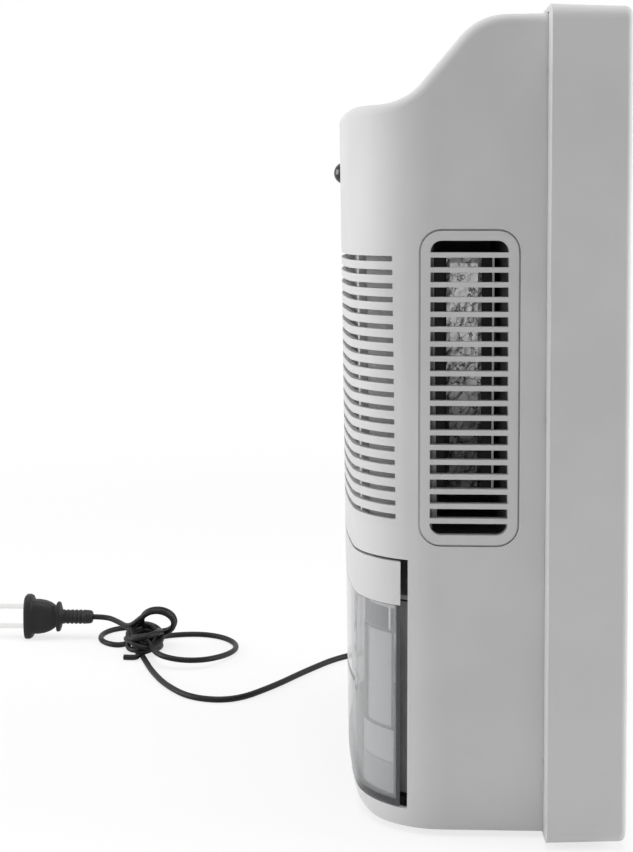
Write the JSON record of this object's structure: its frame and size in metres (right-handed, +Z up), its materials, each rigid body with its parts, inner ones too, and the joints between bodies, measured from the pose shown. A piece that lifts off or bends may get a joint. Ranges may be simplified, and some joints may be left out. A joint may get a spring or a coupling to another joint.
{
  "type": "dehumidifier",
  "caption": "Small thermoelectric dehumidifier: curved louvred shell, deep back cover, clear pull-out water tank, side grilles, mains cord tied in a hank.",
  "frame": {"origin": "on the floor under the middle of the dehumidifier, half way between the button's tip and its back", "axes": "+Z up, the front with the louvre and the tank faces -Y, +X is the side with no cord"},
  "size_m": [0.3251, 0.3479, 0.36],
  "materials": {
    "shell_plastic": "satin",
    "clear_plastic": "gloss",
    "inner_plastic": "satin",
    "float_plastic": "matte",
    "black_plastic": "gloss",
    "rubber_black": "matte",
    "steel": "satin",
    "brass": "satin",
    "alloy": "satin",
    "board": "satin",
    "ceramic": "matte",
    "foam": "matte",
    "winding": "satin"
  },
  "bodies": {
    "housing": {"air_duct": "black_plastic", "back_cover": "shell_plastic", "board_screws": "steel", "capacitors": "black_plastic", "cold_sink": "alloy", "control_board": "board", "cord_hank": "rubber_black", "cord_lead": "rubber_black", "cord_tail": "rubber_black", "cord_tie": "rubber_black", "cover_screws": "steel", "drip_tray": "inner_plastic", "fan_bearing": "brass", "fan_frame": "black_plastic", "fan_screws": "steel", "foil_pads": "alloy", "front_housing": "shell_plastic", "front_louvre": "shell_plastic", "hot_sink": "alloy", "insulation_frame": "foam", "level_switch": "black_plastic", "peltier_module": "ceramic", "plug_blades": "brass", "plug_body": "rubber_black", "power_board": "board", "rubber_feet": "rubber_black", "side_grille_left": "shell_plastic", "side_grille_right": "shell_plastic", "sink_screws": "steel", "strain_relief": "rubber_black", "tact_switch": "black_plastic", "tank_bay": "inner_plastic", "terminal_block": "black_plastic", "transformer": "winding"},
    "tank": {"water_tank": "clear_plastic", "tank_fascia": "shell_plastic", "tank_lid": "inner_plastic", "lid_seal": "rubber_black", "float_pin": "steel"},
    "float": {"float_arm": "inner_plastic", "float_block": "float_plastic", "float_magnet": "steel"},
    "fan": {"fan_rotor": "black_plastic", "fan_shaft": "steel"},
    "button": {"power_button": "black_plastic", "switch_plunger": "black_plastic"}
  },
  "joints": [
    {"name": "tank_slide", "type": "slide", "parent": "housing", "child": "tank", "axis": [0, -1, 0], "range_m": [0, 0.1]},
    {"name": "float_swing", "type": "hinge", "parent": "tank", "child": "float", "pos_m": [0.052, 0.00276, 0.0914], "axis": [-1, 0, 0], "range_deg": [0, 22]},
    {"name": "fan_spin", "type": "hinge", "parent": "housing", "child": "fan", "pos_m": [0, 0.02785, 0.199], "axis": [0, 1, 0], "continuous": true},
    {"name": "button_press", "type": "slide", "parent": "housing", "child": "button", "axis": [0, 1, 0], "range_m": [0, 0.0015], "stiffness_N_per_m": 300}
  ]
}
